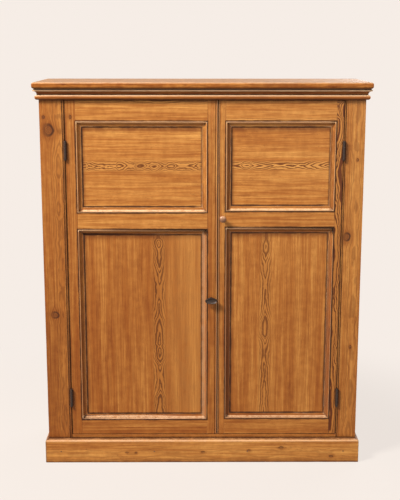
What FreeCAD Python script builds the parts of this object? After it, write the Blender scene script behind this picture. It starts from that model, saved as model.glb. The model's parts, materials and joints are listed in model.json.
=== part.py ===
"""Pine jelly cupboard: a face-framed case with shelves, two panelled doors, a turn and a bolt.

Millimetres, +Z up, the front faces -Y and +X is to the right as one faces the doors.
The origin is on the floor, under the middle of the whole cupboard.
"""
import FreeCAD, Part
import os
from FreeCAD import Vector

# ---- case ----
carcass_width = 1090.0       # over the two sides
carcass_depth = 330.0        # face of the doors to the back
overall_height = 1334.0      # floor to top
side_thickness = 20.0
frame_thickness = 22.0       # face frame, front to back
left_stile_width = 83.0
right_stile_width = 69.5
frame_tenon_thickness = 8.0
frame_tenon_length = 42.0
rail_reveal = 13.2           # strip of bottom rail that shows above the plinth
rail_foot_gap = 12.0         # floor to the bottom rail's lower edge

# ---- top board and cornice ----
top_thickness = 20.5
top_front_overhang = 26.0
top_side_overhang = 19.5
nose_radius = 7.0
torus_radius = 8.5           # half-round at the foot of the cornice
torus_seat = 3.5             # case to the centre of the half-round
cove_foot = 5.5
cove_head = 14.5
cove_height = 11.5
fillet_projection = 17.0
fillet_height = 5.5
recess_projection = 14.0     # shadow recess under the top board
recess_height = 3.5

# ---- plinth ----
plinth_height = 84.0
plinth_front = 24.0          # how far it stands out in front
plinth_side = 10.0           # how far it stands out at each side
plinth_round = 6.0
block_size = 25.0            # glue blocks under the bottom board
block_length = 80.0
block_inset = 60.0

# ---- bottom board, shelves and back ----
bottom_thickness = 20.0
bottom_stop_lap = 8.0        # the bottom board laps the doors and stops them
housing_depth = 6.0
shelf_count = 3
shelf_thickness = 18.0
shelf_setback = 20.0         # behind the doors
shelf_end_play = 0.5
cleat_width = 18.0
cleat_height = 25.0
cleat_setback = 12.0
back_board_count = 6
back_thickness = 12.0
back_rabbet = 10.0           # how far the back is let into each side
back_foot = 15.0
tongue_length = 6.0
tongue_thickness = 4.0
board_play = 0.3
stop_height = 38.0           # batten behind the top rail that stops the doors
stop_thickness = 16.0
stop_lap = 12.0

# ---- beads run on edges ----
quirk_width = 1.3
quirk_depth = 2.2
left_stile_bead = 7.0
right_stile_bead = 4.5
left_door_bead = 7.5
right_door_bead = 4.0

# ---- doors ----
door_gap = 1.8
door_thickness = 21.5
meeting_x = 52.5             # middle of the gap between the doors
left_door_stile = 35.0
right_door_stile = 25.0
top_rail = 69.0
left_mid_rail = 57.5
right_mid_rail = 55.0
left_bottom_rail = 54.0
right_bottom_rail = 56.5
left_lower_light = 685.0     # height of the lower panel's opening
right_lower_light = 689.5
panel_recess = 9.5
panel_thickness = 8.0
groove_depth = 7.0
panel_play = 1.0             # room for the panel to move in its groove
tenon_stop = 6.0             # wood left beyond the end of each tenon
haunch = 20.0
joint_fit = 0.15

# ---- panel mouldings: width across the panel, height above it ----
bead_radius = 2.6
bead_seat = 8.1              # panel to the centre of the outer bead
cove_start = 5.6
cove_end = 13.8
cove_end_height = 2.5
moulding_edge = 1.5          # thickness left at the moulding's inner edge
moulding_width = 19.5

# ---- butt hinges ----
hinge_length = 64.0
hinge_low = 136.0            # bottom of the door to the middle of the lower hinge
hinge_high = 167.0           # top of the door to the middle of the upper hinge
knuckle_radius = 4.5
knuckle_count = 3
knuckle_clearance = 0.3
pin_radius = 2.5
running_clearance = 0.06
leaf_thickness = 2.0
leaf_reach = 16.0            # how deep a leaf is let into the edge

# ---- turn on the left door ----
turn_inset = 21.2            # meeting edge to the spindle
turn_height = 589.5
turn_length = 42.0
turn_width = 21.0
turn_thickness = 8.0
turn_end_radius = 7.0
turn_bevel = 2.0
turn_stand_off = 9.0         # rose to the back of the oval
dish_depth = 2.4
dish_length = 29.0
dish_width = 12.5
neck_radius = 6.0
rose_radius = 9.5
rose_thickness = 1.8
spindle_radius = 4.0
turn_clearance = 0.3
tongue_reach = 36.0
tongue_width = 15.0
tongue_plate = 3.0
tongue_clearance = 0.8       # door to the tongue
rivet_radius = 6.5
rivet_height = 3.0

# ---- knob on the right door ----
knob_inset = 15.4            # meeting edge to the knob's centre
knob_rise = 31.0             # lower edge of the middle rail to the knob
knob_radius = 11.5
knob_neck = 6.0
knob_rim = 10.0              # height of the knob's widest band
knob_crown = 3.2             # height of the crown above that band
knob_flat = 8.3              # radius of the flat on top
knob_projection = 24.0
spigot_radius = 4.5
spigot_length = 8.0

# ---- bolt inside the right door ----
bolt_inset = 12.6
bolt_radius = 3.5
bolt_length = 95.0
bolt_travel = 16.0
bolt_gap = 3.5               # tip of the withdrawn bolt to the stop
bolt_plate_width = 22.0
bolt_plate_length = 80.0
bolt_plate_thickness = 2.0
bolt_stand_off = 5.0         # plate to the bolt's axis
guide_radius = 6.0
guide_length = 10.0
guide_margin = 2.0
thumb_radius = 4.0
thumb_length = 9.0
thumb_height = 26.0          # foot of the bolt to its thumb piece
keeper_radius = 5.0
keeper_length = 30.0
keeper_thickness = 1.5
keeper_depth = 18.0

# ---- places that follow from the sizes ----
half_width = carcass_width / 2
total_depth = carcass_depth + top_front_overhang
back_y = total_depth / 2
face_y = back_y - carcass_depth
frame_back_y = face_y + frame_thickness
inner_back_y = back_y - back_thickness
inner_half = half_width - side_thickness
case_top = overall_height - top_thickness
cornice_height = 2 * torus_radius + cove_height + fillet_height + recess_height
opening_top = case_top - cornice_height
opening_bottom = plinth_height + rail_reveal
opening_left = -half_width + left_stile_width
opening_right = half_width - right_stile_width
door_bottom = opening_bottom + door_gap
door_top = opening_top - door_gap
door_back_y = face_y + door_thickness
panel_front_y = face_y + panel_recess
panel_back_y = panel_front_y + panel_thickness
bottom_top = door_bottom + bottom_stop_lap
stop_bottom = door_top - stop_lap
pin_y = face_y - knuckle_radius - knuckle_clearance
hinge_heights = (door_bottom + hinge_low, door_top - hinge_high)
left_pin_x = opening_left + door_gap / 2
right_pin_x = opening_right - door_gap / 2
turn_x = meeting_x - door_gap / 2 - turn_inset
knob_height = door_bottom + right_bottom_rail + right_lower_light + knob_rise
knob_x = meeting_x + door_gap / 2 + knob_inset
bolt_x = meeting_x + door_gap / 2 + bolt_inset
bolt_y = door_back_y + bolt_plate_thickness + bolt_stand_off
bolt_tip = stop_bottom - bolt_gap
COS45 = 0.5 ** 0.5

nodes = {}


def block(xs, ys, zs):
    """A box between pairs of limits, given in either order."""
    low = Vector(min(xs), min(ys), min(zs))
    high = Vector(max(xs), max(ys), max(zs))
    size = high - low
    return Part.makeBox(size.x, size.y, size.z, low)


def section(path, place):
    """A flat face round a path; a step is a point, or (through, end) for an arc."""
    edges = []
    here = path[0]
    for step in path[1:] + path[:1]:
        if isinstance(step[0], tuple):
            through, end = step
            edges.append(Part.Arc(place(*here), place(*through), place(*end)).toShape())
        else:
            end = step
            if end != here:
                edges.append(Part.LineSegment(place(*here), place(*end)).toShape())
        here = end
    return Part.Face(Part.Wire(edges))


def run_of(path, start, end, start_slope, end_slope, place):
    """A length of moulding; its ends are cut square (slope 0) or to a mitre (slope 1 or -1).

    place(along, across, height) turns the moulding's own directions into the cupboard's.
    """
    across = [point[0] for step in path for point in (step if isinstance(step[0], tuple) else (step,))]
    reach = max(across) + 1.0
    first = start - reach
    last = end + reach
    bar = section(path, lambda a, h: place(first, a, h))
    bar = bar.extrude(place(last, 0, 0) - place(first, 0, 0))
    low = place(0, 0, -overall_height)
    up = place(0, 0, overall_height) - low
    cutter = [(start, 0.0), (end, 0.0), (end + end_slope * reach, reach),
              (start + start_slope * reach, reach)]
    corners = [place(along, far, -overall_height) for along, far in cutter]
    wedge = Part.Face(Part.makePolygon(corners + corners[:1])).extrude(up)
    return bar.common(wedge).Solids[0]


def beaded_board(plain_x, bead_x, bead, thickness, zs):
    """An upright board whose front arris at bead_x carries a quirk and bead."""
    side = 1 if bead_x > plain_x else -1
    quirk_x = bead_x - side * bead
    sunk_y = face_y + quirk_depth
    path = [(plain_x, face_y), (quirk_x - side * quirk_width, face_y),
            (quirk_x - side * quirk_width, sunk_y), (quirk_x, sunk_y),
            ((bead_x - side * bead / 2, face_y), (bead_x, sunk_y)),
            (bead_x, face_y + thickness), (plain_x, face_y + thickness)]
    return section(path, lambda x, y: Vector(x, y, zs[0])).extrude(Vector(0, 0, zs[1] - zs[0]))


def grown(limits, by):
    """A pair of limits, opened at both ends."""
    return min(limits) - by, max(limits) + by


# ---------------------------------------------------------------- butt hinges

def leaf(pin_x, side, middle, own):
    """A hinge leaf let into an edge, with its own share of the knuckles."""
    surface = pin_x + side * door_gap / 2
    plate_x = (surface, surface + side * leaf_thickness)
    foot = middle - hinge_length / 2
    pitch = hinge_length / knuckle_count
    shape = block(plate_x, (face_y, face_y + leaf_reach), (foot, foot + hinge_length))
    for index in own:
        zs = (foot + index * pitch + knuckle_clearance / 2,
              foot + (index + 1) * pitch - knuckle_clearance / 2)
        tab = block(plate_x, (pin_y + 0.7 * knuckle_radius, face_y), zs)
        barrel = Part.makeCylinder(knuckle_radius, zs[1] - zs[0], Vector(pin_x, pin_y, zs[0]))
        shape = shape.fuse([tab, barrel])
    bore = Part.makeCylinder(pin_radius + running_clearance, hinge_length,
                             Vector(pin_x, pin_y, foot))
    return shape.cut(bore).removeSplitter().Solids[0]


def let_in(board, pin_x, side):
    """Cuts the sinkings for the leaves of both hinges into a board's edge."""
    surface = pin_x + side * door_gap / 2
    for middle in hinge_heights:
        sinking = block((surface - side, surface + side * leaf_thickness),
                        (face_y - 1.0, face_y + leaf_reach),
                        (middle - hinge_length / 2, middle + hinge_length / 2))
        board = board.cut(sinking)
    return board


def hinges(name, pin_x, frame_side):
    """The leaves of one door's hinges; the frame's have the end knuckles."""
    knuckles = range(knuckle_count)
    for owner, side, own in (("frame", frame_side, knuckles[0::2]),
                             ("door", -frame_side, knuckles[1::2])):
        nodes[f"{name}_{owner}_leaves"] = Part.makeCompound(
            [leaf(pin_x, side, middle, own) for middle in hinge_heights])


def hinge_pins():
    """The four pins that the knuckles turn on."""
    nodes["hinge_pins"] = Part.makeCompound(
        [Part.makeCylinder(pin_radius, hinge_length, Vector(pin_x, pin_y, middle - hinge_length / 2))
         for pin_x in (left_pin_x, right_pin_x) for middle in hinge_heights])


# ---------------------------------------------------------------- case

def face_frame():
    """Two beaded stiles, and two rails tenoned between them."""
    middle_y = face_y + frame_thickness / 2
    tenon_y = (middle_y - frame_tenon_thickness / 2, middle_y + frame_tenon_thickness / 2)
    rails = {"face_rail_top": (opening_top, case_top),
             "face_rail_bottom": (rail_foot_gap, opening_bottom)}
    stiles = {"face_stile_left": beaded_board(-half_width, opening_left, left_stile_bead,
                                              frame_thickness, (0, case_top)),
              "face_stile_right": beaded_board(half_width, opening_right, right_stile_bead,
                                               frame_thickness, (0, case_top))}
    for name, zs in rails.items():
        quarter = (zs[1] - zs[0]) / 4
        tenon_z = (zs[0] + quarter, zs[1] - quarter)
        tenon_x = (opening_left - frame_tenon_length, opening_right + frame_tenon_length)
        rail = block((opening_left, opening_right), (face_y, frame_back_y), zs)
        nodes[name] = rail.fuse(block(tenon_x, tenon_y, tenon_z)).removeSplitter().Solids[0]
        mortise = block(grown(tenon_x, joint_fit), grown(tenon_y, joint_fit),
                        grown(tenon_z, joint_fit))
        for stile in stiles:
            stiles[stile] = stiles[stile].cut(mortise)
    nodes["face_stile_left"] = let_in(stiles["face_stile_left"], left_pin_x, -1)
    nodes["face_stile_right"] = let_in(stiles["face_stile_right"], right_pin_x, 1)


def sides_and_bottom():
    """Sides housed for the bottom board and rabbeted for the back."""
    bottom_z = (bottom_top - bottom_thickness, bottom_top)
    for name, side in (("side_left", -1), ("side_right", 1)):
        board = block((side * inner_half, side * half_width), (frame_back_y, back_y), (0, case_top))
        rabbet = block((side * inner_half, side * (inner_half + back_rabbet)),
                       (inner_back_y, back_y), (back_foot, case_top))
        housing = block((side * inner_half, side * (inner_half + housing_depth)),
                        (frame_back_y, inner_back_y), bottom_z)
        nodes[name] = board.cut([rabbet, housing])
    reach = inner_half + housing_depth
    nodes["bottom_board"] = block((-reach, reach), (frame_back_y, inner_back_y), bottom_z)


def shelf_tops():
    """Heights of the shelves' upper faces, with equal spaces above and below."""
    clear = case_top - bottom_top - shelf_count * shelf_thickness
    space = clear / (shelf_count + 1)
    return [bottom_top + (number + 1) * (space + shelf_thickness) for number in range(shelf_count)]


def shelves():
    """Loose shelves that lie on cleats nailed to the sides."""
    front_y = frame_back_y + shelf_setback
    reach = inner_half - shelf_end_play
    cleats = []
    for number, top in enumerate(shelf_tops(), start=1):
        under = top - shelf_thickness
        nodes[f"shelf_{number}"] = block((-reach, reach), (front_y, inner_back_y), (under, top))
        for side in (-1, 1):
            cleats.append(block((side * inner_half, side * (inner_half - cleat_width)),
                                (front_y + cleat_setback, inner_back_y),
                                (under - cleat_height, under)))
    nodes["shelf_cleats"] = Part.makeCompound(cleats)


def back_boards():
    """Upright boards, tongued on the right edge and grooved on the left."""
    reach = inner_half + back_rabbet
    pitch = 2 * reach / back_board_count
    middle_y = (inner_back_y + back_y) / 2
    half_tongue = tongue_thickness / 2
    zs = (back_foot, case_top)
    for number in range(back_board_count):
        left = -reach + number * pitch
        right = left + pitch
        board = block((left, right), (inner_back_y, back_y), zs)
        if number > 0:
            groove = block((left, left + tongue_length + board_play),
                           grown((middle_y - half_tongue, middle_y + half_tongue), board_play), zs)
            board = board.cut(groove)
        if number < back_board_count - 1:
            tongue = block((right - board_play, right + tongue_length),
                           (middle_y - half_tongue, middle_y + half_tongue), zs)
            shoulder = block((right - board_play, right), (inner_back_y, back_y), zs)
            board = board.cut(shoulder).fuse(tongue)
        nodes[f"back_board_{number + 1}"] = board.removeSplitter().Solids[0]


def top_board():
    """The top, with a rounded nosing on the front and both ends."""
    half = half_width + top_side_overhang
    board = block((-half, half), (face_y - top_front_overhang, back_y), (case_top, overall_height))
    radius = min(nose_radius, 0.45 * top_thickness)
    edges = []
    for edge in board.Edges:
        middle = edge.CenterOfMass
        level = abs(middle.z - case_top) < 0.01 or abs(middle.z - overall_height) < 0.01
        if level and abs(middle.y - back_y) > 0.01:
            edges.append(edge)
    nodes["top_board"] = board.makeFillet(radius, edges).Solids[0]


def cornice():
    """Half-round, cove and fillet, mitred at the front corners."""
    cove_z = 2 * torus_radius
    fillet_z = cove_z + cove_height
    recess_z = fillet_z + fillet_height
    bend = (cove_foot + (1 - COS45) * (cove_head - cove_foot), cove_z + COS45 * cove_height)
    path = [(0.0, 0.0), (torus_seat, 0.0),
            ((torus_seat + torus_radius, torus_radius), (torus_seat, cove_z)),
            (cove_foot, cove_z), (bend, (cove_head, fillet_z)),
            (fillet_projection, fillet_z), (fillet_projection, recess_z),
            (recess_projection, recess_z), (recess_projection, cornice_height),
            (0.0, cornice_height)]
    nodes["cornice_front"] = run_of(
        path, -half_width, half_width, -1, 1,
        lambda along, out, up: Vector(along, face_y - out, opening_top + up))
    for name, side in (("cornice_left", -1), ("cornice_right", 1)):
        nodes[name] = run_of(
            path, face_y, back_y, -1, 0,
            lambda along, out, up: Vector(side * (half_width + out), along, opening_top + up))


def plinth():
    """Boards planted round the foot, rounded on top and mitred at the corners."""
    radius = min(plinth_round, 0.9 * plinth_side)
    shoulder = plinth_height - radius
    bend = (plinth_side - (1 - COS45) * radius, shoulder + COS45 * radius)
    path = [(0.0, 0.0), (plinth_side, 0.0), (plinth_side, shoulder),
            (bend, (plinth_side - radius, plinth_height)), (0.0, plinth_height)]
    mitre_y = face_y - plinth_front + plinth_side
    front = run_of(path, -half_width, half_width, -1, 1,
                   lambda along, out, up: Vector(along, mitre_y - out, up))
    core = block((-half_width, half_width), (mitre_y, face_y), (0, plinth_height))
    nodes["plinth_front"] = front.fuse(core).removeSplitter().Solids[0]
    for name, side in (("plinth_left", -1), ("plinth_right", 1)):
        nodes[name] = run_of(
            path, mitre_y, back_y, -1, 0,
            lambda along, out, up: Vector(side * (half_width + out), along, up))


def glue_blocks():
    """Blocks rubbed into the corners under the bottom board."""
    under = bottom_top - bottom_thickness
    zs = (under - block_size, under)
    blocks = []
    for side in (-1, 1):
        far = side * (inner_half - block_inset)
        blocks.append(block((far, far - side * block_length),
                            (frame_back_y, frame_back_y + block_size), zs))
        middle_y = (frame_back_y + inner_back_y) / 2
        blocks.append(block((side * inner_half, side * (inner_half - block_size)),
                            (middle_y - block_length / 2, middle_y + block_length / 2), zs))
    blocks.append(block((-block_length / 2, block_length / 2),
                        (frame_back_y, frame_back_y + block_size), zs))
    nodes["glue_blocks"] = Part.makeCompound(blocks)


def door_stop():
    """A batten behind the top rail, bored for the bolt and faced with a keeper plate."""
    stop_y = (frame_back_y, frame_back_y + stop_thickness)
    batten = block((-inner_half, inner_half), stop_y, (stop_bottom, stop_bottom + stop_height))
    foot = Vector(bolt_x, bolt_y, stop_bottom)
    bore = Part.makeCylinder(keeper_radius, bolt_travel + bolt_gap, foot)
    middle_y = (stop_y[0] + stop_y[1]) / 2
    plate_y = grown((middle_y, middle_y), min(keeper_depth, stop_thickness) / 2)
    plate_x = (bolt_x - keeper_length / 2, bolt_x + keeper_length / 2)
    plate = block(plate_x, plate_y, (stop_bottom, stop_bottom + keeper_thickness))
    nodes["door_stop"] = batten.cut([bore, plate])
    nodes["bolt_keeper"] = plate.cut(bore)


# ---------------------------------------------------------------- doors

def panel_moulding(xs, zs):
    """Four mitred lengths planted on a panel, round the inside of the frame."""
    bend = (cove_start + (1 - COS45) * (cove_end - cove_start),
            bead_seat - COS45 * (bead_seat - cove_end_height))
    path = [(0.0, 0.0), (0.0, bead_seat),
            ((bead_radius, bead_seat + bead_radius), (2 * bead_radius, bead_seat)),
            (cove_start, bead_seat), (bend, (cove_end, cove_end_height)),
            (moulding_width, moulding_edge), (moulding_width, 0.0)]
    runs = []
    for base, way in ((zs[0], 1), (zs[1], -1)):
        runs.append(run_of(path, xs[0], xs[1], 1, -1,
                           lambda along, in_, out: Vector(along, panel_front_y - out, base + way * in_)))
    for base, way in ((xs[0], 1), (xs[1], -1)):
        runs.append(run_of(path, zs[0], zs[1], 1, -1,
                           lambda along, in_, out: Vector(base + way * in_, panel_front_y - out, along)))
    return Part.makeCompound(runs)


def door(name, hinge_x, meet_x, stile, bead, mid_rail, bottom_rail, lower_light):
    """Stiles, rails, panels and mouldings of one door."""
    side = 1 if meet_x > hinge_x else -1
    tenon_y = (panel_front_y, panel_back_y)
    groove_y = grown(tenon_y, joint_fit)
    inner = (hinge_x + side * stile, meet_x - side * stile)
    mid_bottom = door_bottom + bottom_rail + lower_light
    rails = {"bottom": (door_bottom, door_bottom + bottom_rail),
             "mid": (mid_bottom, mid_bottom + mid_rail),
             "top": (door_top - top_rail, door_top)}
    tenons = {"bottom": (door_bottom + haunch, rails["bottom"][1] - groove_depth),
              "mid": (mid_bottom + groove_depth, rails["mid"][1] - groove_depth),
              "top": (rails["top"][0] + groove_depth, door_top - haunch)}
    hinge_stile = block((hinge_x, inner[0]), (face_y, door_back_y), (door_bottom, door_top))
    meeting_stile = beaded_board(inner[1], meet_x, bead, door_thickness, (door_bottom, door_top))
    grooved = (min(inner) - groove_depth, max(inner) + groove_depth)
    tenoned = grown(inner, stile - tenon_stop)
    cuts = [block(grooved, groove_y, (door_bottom, door_top))]
    for rail, tenon_z in tenons.items():
        zs = rails[rail]
        shape = block(inner, (face_y, door_back_y), zs)
        if rail != "bottom":
            shape = shape.cut(block(inner, groove_y, (zs[0], zs[0] + groove_depth)))
        if rail != "top":
            shape = shape.cut(block(inner, groove_y, (zs[1] - groove_depth, zs[1])))
        parts = [block(tenoned, tenon_y, tenon_z)]
        if rail != "mid":
            parts.append(block(grown(inner, groove_depth - panel_play), tenon_y,
                               (min(tenon_z[0], door_top - haunch), door_top) if rail == "top"
                               else (door_bottom, tenon_z[0])))
        nodes[f"{name}_{rail}_rail"] = shape.fuse(parts).removeSplitter().Solids[0]
        cuts.append(block(grown(tenoned, joint_fit), groove_y, grown(tenon_z, joint_fit)))
    lights = {"lower": (rails["bottom"][1], rails["mid"][0]),
              "upper": (rails["mid"][1], rails["top"][0])}
    for light, zs in lights.items():
        let = groove_depth - panel_play
        nodes[f"{name}_{light}_panel"] = block(grown(inner, let), tenon_y, grown(zs, let))
        nodes[f"{name}_{light}_moulding"] = panel_moulding((min(inner), max(inner)), zs)
    return hinge_stile.cut(cuts), meeting_stile.cut(cuts)


def left_door():
    """The door that carries the turn."""
    hinge_stile, meeting_stile = door(
        "left", opening_left + door_gap, meeting_x - door_gap / 2, left_door_stile,
        left_door_bead, left_mid_rail, left_bottom_rail, left_lower_light)
    hole = Part.makeCylinder(spindle_radius + running_clearance, door_thickness,
                             Vector(turn_x, face_y, turn_height), Vector(0, 1, 0))
    nodes["left_hinge_stile"] = let_in(hinge_stile, left_pin_x, 1)
    nodes["left_meeting_stile"] = meeting_stile.cut(hole)


def right_door():
    """The door that carries the knob and the bolt."""
    hinge_stile, meeting_stile = door(
        "right", opening_right - door_gap, meeting_x + door_gap / 2, right_door_stile,
        right_door_bead, right_mid_rail, right_bottom_rail, right_lower_light)
    hole = Part.makeCylinder(spigot_radius + running_clearance, spigot_length + joint_fit,
                             Vector(knob_x, face_y, knob_height), Vector(0, 1, 0))
    nodes["right_hinge_stile"] = let_in(hinge_stile, right_pin_x, -1)
    nodes["right_meeting_stile"] = meeting_stile.cut(hole)


def knob():
    """A turned wooden knob with a spigot let into the stile."""
    rim_top = knob_projection - knob_crown
    rim_foot = rim_top - knob_rim
    path = [(0.0, -spigot_length), (spigot_radius, -spigot_length), (spigot_radius, 0.0), (knob_neck, 0.0),
            (knob_neck, rim_foot), (knob_radius, rim_foot), (knob_radius, rim_top),
            (knob_flat, knob_projection), (0.0, knob_projection)]
    half = section(path, lambda r, out: Vector(knob_x + r, face_y - out, knob_height))
    axis_at = Vector(knob_x, face_y, knob_height)
    nodes["door_knob"] = half.revolve(axis_at, Vector(0, 1, 0), 360).Solids[0]


# ---------------------------------------------------------------- turn

def oval_path(length, width, end_radius):
    """An oval of four arcs, long across, round the origin."""
    end_x = length / 2 - end_radius
    side_radius = (end_x ** 2 + width ** 2 / 4 - end_radius ** 2) / (width - 2 * end_radius)
    side_z = side_radius - width / 2
    reach = side_radius / (side_radius - end_radius)
    x = end_x * reach
    z = side_z * (reach - 1)
    return [(-x, z), ((0.0, width / 2), (x, z)), ((length / 2, 0.0), (x, -z)),
            ((0.0, -width / 2), (-x, -z)), ((-length / 2, 0.0), (-x, z))]


def turn():
    """An oval turn on a rose; its spindle goes through the stile to a tongue inside."""
    inward = Vector(0, 1, 0)
    outward = Vector(0, -1, 0)

    def cylinder(radius, start_y, end_y):
        return Part.makeCylinder(radius, abs(end_y - start_y), Vector(turn_x, start_y, turn_height),
                                 inward if end_y > start_y else outward)

    rose_y = face_y - rose_thickness
    rose = cylinder(rose_radius, face_y, rose_y)
    nodes["turn_rose"] = rose.cut(cylinder(spindle_radius + running_clearance, face_y, rose_y))

    neck_y = rose_y - turn_clearance
    oval_y = rose_y - turn_stand_off
    front_y = oval_y - turn_thickness
    oval = section(oval_path(turn_length, turn_width, turn_end_radius),
                   lambda x, z: Vector(turn_x + x, oval_y, turn_height + z))
    oval = oval.extrude(Vector(0, front_y - oval_y, 0))
    rim = [edge for edge in oval.Edges if abs(edge.CenterOfMass.y - front_y) < 0.01]
    oval = oval.makeChamfer(min(turn_bevel, 0.4 * turn_thickness), rim)
    dish_end = dish_width / 2
    dish = section(oval_path(dish_length, dish_width, 0.66 * dish_end),
                   lambda x, z: Vector(turn_x + x, front_y, turn_height + z))
    dish = dish.extrude(Vector(0, dish_depth, 0))
    seat_y = oval_y - 0.4 * turn_thickness
    handle = oval.cut(dish).fuse(cylinder(neck_radius, neck_y, oval_y))
    handle = handle.cut(cylinder(spindle_radius, neck_y, seat_y))
    nodes["turn_handle"] = handle.removeSplitter().Solids[0]

    tongue_y = door_back_y + tongue_clearance
    rivet_y = tongue_y + tongue_plate
    shaft = cylinder(spindle_radius, seat_y, rivet_y)
    rivet = cylinder(rivet_radius, rivet_y, rivet_y + rivet_height)
    nodes["turn_spindle"] = shaft.fuse(rivet).removeSplitter().Solids[0]

    half = tongue_width / 2
    tip = tongue_reach - half
    slope = 0.4 * half
    path = [(-half, slope), (-half, -tip), (-slope, -tongue_reach), (slope, -tongue_reach), (half, -tip),
            (half, slope), (slope, half), (-slope, half)]
    plate = section(path, lambda x, z: Vector(turn_x + x, tongue_y, turn_height + z))
    plate = plate.extrude(Vector(0, tongue_plate, 0))
    nodes["turn_tongue"] = plate.cut(cylinder(spindle_radius, tongue_y, rivet_y)).Solids[0]


# ---------------------------------------------------------------- bolt

def bolt():
    """A round bolt that slides up through two guides on a plate."""
    foot = bolt_tip - bolt_length
    plate_top = bolt_tip - bolt_travel + guide_margin
    plate_foot = plate_top - bolt_plate_length
    plate_y = (door_back_y, door_back_y + bolt_plate_thickness)
    half = bolt_plate_width / 2
    case = block((bolt_x - half, bolt_x + half), plate_y, (plate_foot, plate_top))
    for start in (plate_foot + guide_margin, plate_top - guide_margin - guide_length):
        saddle = block((bolt_x - guide_radius, bolt_x + guide_radius), (plate_y[1], bolt_y),
                       (start, start + guide_length))
        barrel = Part.makeCylinder(guide_radius, guide_length, Vector(bolt_x, bolt_y, start))
        case = case.fuse([saddle, barrel])
    bore = Part.makeCylinder(bolt_radius + running_clearance, bolt_plate_length,
                             Vector(bolt_x, bolt_y, plate_foot))
    nodes["bolt_case"] = case.cut(bore).removeSplitter().Solids[0]

    rod = Part.makeCylinder(bolt_radius, bolt_length, Vector(bolt_x, bolt_y, foot))
    thumb = Part.makeCylinder(thumb_radius, bolt_radius + thumb_length,
                              Vector(bolt_x, bolt_y, foot + thumb_height), Vector(0, 1, 0))
    nodes["bolt_rod"] = rod.fuse(thumb).removeSplitter().Solids[0]


# ---------------------------------------------------------------- whole cupboard

face_frame()
sides_and_bottom()
shelves()
back_boards()
top_board()
cornice()
plinth()
glue_blocks()
door_stop()
left_door()
right_door()
hinges("left", left_pin_x, -1)
hinges("right", right_pin_x, 1)
hinge_pins()
knob()
turn()
bolt()

os.makedirs("parts", exist_ok=True)
for node_name, shape in nodes.items():
    shape.exportStep(f"parts/{node_name}.step")
    print(node_name, len(shape.Solids), "solid(s)", "ok" if shape.isValid() else "NOT VALID")
print(len(nodes), "nodes")
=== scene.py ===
"""Old waxed pine jelly cupboard: its finishes, worn edges, fittings and stage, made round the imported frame."""

import json
import math
from types import SimpleNamespace

import bmesh
import bpy
from bpy.props import FloatProperty, FloatVectorProperty, PointerProperty
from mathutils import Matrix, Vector, noise

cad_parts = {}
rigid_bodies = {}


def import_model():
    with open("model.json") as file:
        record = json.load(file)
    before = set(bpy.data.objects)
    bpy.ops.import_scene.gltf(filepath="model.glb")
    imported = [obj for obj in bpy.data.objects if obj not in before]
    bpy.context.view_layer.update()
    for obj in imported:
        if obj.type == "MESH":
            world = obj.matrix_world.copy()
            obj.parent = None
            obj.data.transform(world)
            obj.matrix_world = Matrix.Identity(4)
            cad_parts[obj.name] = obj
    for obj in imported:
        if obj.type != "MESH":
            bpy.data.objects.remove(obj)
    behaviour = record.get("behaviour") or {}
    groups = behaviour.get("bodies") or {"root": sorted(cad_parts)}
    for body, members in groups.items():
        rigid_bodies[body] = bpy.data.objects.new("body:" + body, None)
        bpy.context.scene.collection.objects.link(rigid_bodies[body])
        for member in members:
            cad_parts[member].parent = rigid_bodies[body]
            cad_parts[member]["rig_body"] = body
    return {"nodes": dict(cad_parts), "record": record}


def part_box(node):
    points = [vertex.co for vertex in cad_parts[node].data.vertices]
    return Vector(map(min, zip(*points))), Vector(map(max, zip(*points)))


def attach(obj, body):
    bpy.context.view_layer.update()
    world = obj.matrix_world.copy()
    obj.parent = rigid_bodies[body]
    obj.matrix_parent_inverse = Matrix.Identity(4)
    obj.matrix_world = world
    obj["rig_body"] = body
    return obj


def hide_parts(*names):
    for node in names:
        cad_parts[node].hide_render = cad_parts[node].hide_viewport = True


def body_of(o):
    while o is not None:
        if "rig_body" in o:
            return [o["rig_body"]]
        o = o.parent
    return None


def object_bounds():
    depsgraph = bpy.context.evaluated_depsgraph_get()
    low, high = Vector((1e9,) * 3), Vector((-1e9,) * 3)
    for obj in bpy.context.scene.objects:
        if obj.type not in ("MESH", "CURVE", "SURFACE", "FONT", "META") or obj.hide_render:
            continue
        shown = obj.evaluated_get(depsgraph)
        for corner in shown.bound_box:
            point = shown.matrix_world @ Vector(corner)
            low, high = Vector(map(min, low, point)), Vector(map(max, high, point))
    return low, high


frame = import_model()

bl_info = {
    "name": "Pine jelly cupboard",
    "version": (1, 0, 0),
    "blender": (4, 5, 0),
    "location": "3D View > Sidebar > Cupboard",
    "description": "Boards, panels, mouldings, hinges, knob, turn, bolt and stage of a waxed pine jelly cupboard",
    "category": "Object",
}

FRAME_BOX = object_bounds()
BACK_Y, TOP_Z = FRAME_BOX[1].y, FRAME_BOX[1].z
FACE_Y, DOOR_BACK_Y = (corner.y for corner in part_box("left_mid_rail"))     # front and back of both doors
AXES = "xyz"
X, Y, Z = range(3)


def tint(red, green, blue):
    """Screen values from 0 to 255 as the linear colour that a material takes."""
    return tuple(((value / 255 + 0.055) / 1.055) ** 2.4 for value in (red, green, blue))


def colour(name, description, red, green, blue):
    """A colour property with a default given in screen values."""
    return FloatVectorProperty(name=name, description=description, subtype="COLOR", size=3,
                               min=0.0, max=1.0, default=tint(red, green, blue))


def length(name, description, default):
    """A property for a small length in metres."""
    return FloatProperty(name=name, description=description, default=default, min=0.0, precision=5,
                         unit="LENGTH", subtype="DISTANCE")


def share(name, description, default):
    """A property that runs from 0 to 1."""
    return FloatProperty(name=name, description=description, default=default, min=0.0, max=1.0, subtype="FACTOR")


def power(name, description, default):
    """A property for the power of a lamp in watts."""
    return FloatProperty(name=name, description=description, default=default, min=0.0, unit="POWER")


# ---- settings that a user would change ----

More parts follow.
